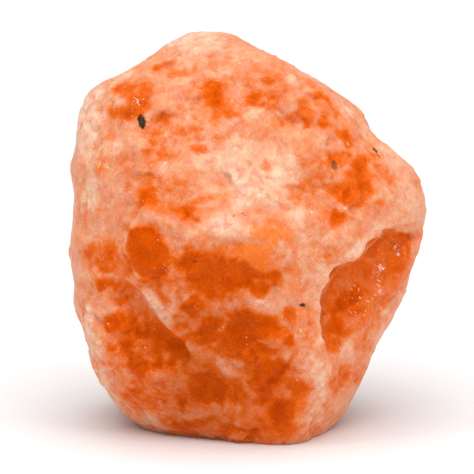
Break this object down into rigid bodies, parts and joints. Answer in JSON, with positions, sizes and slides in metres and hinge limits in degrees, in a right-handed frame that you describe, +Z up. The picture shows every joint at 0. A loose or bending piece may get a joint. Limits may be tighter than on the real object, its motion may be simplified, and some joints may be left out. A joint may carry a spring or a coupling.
{
  "type": "rough sunstone",
  "caption": "Rough lump of orange feldspar sunstone with worn broken faces, fracture ledges and a flat base that it stands on upright.",
  "frame": {"origin": "middle of the bounding box's bottom, on the flat base that the stone stands on", "axes": "+Z up along the stone's height, -Y out of its broad front, +X to the right seen from the front"},
  "size_m": [0.0596, 0.0452, 0.0658],
  "materials": {
    "sunstone": "rough broken stone with a waxy sheen, deep orange and milky pink patches"
  },
  "bodies": {
    "root": {"sunstone": "sunstone"}
  },
  "joints": []
}
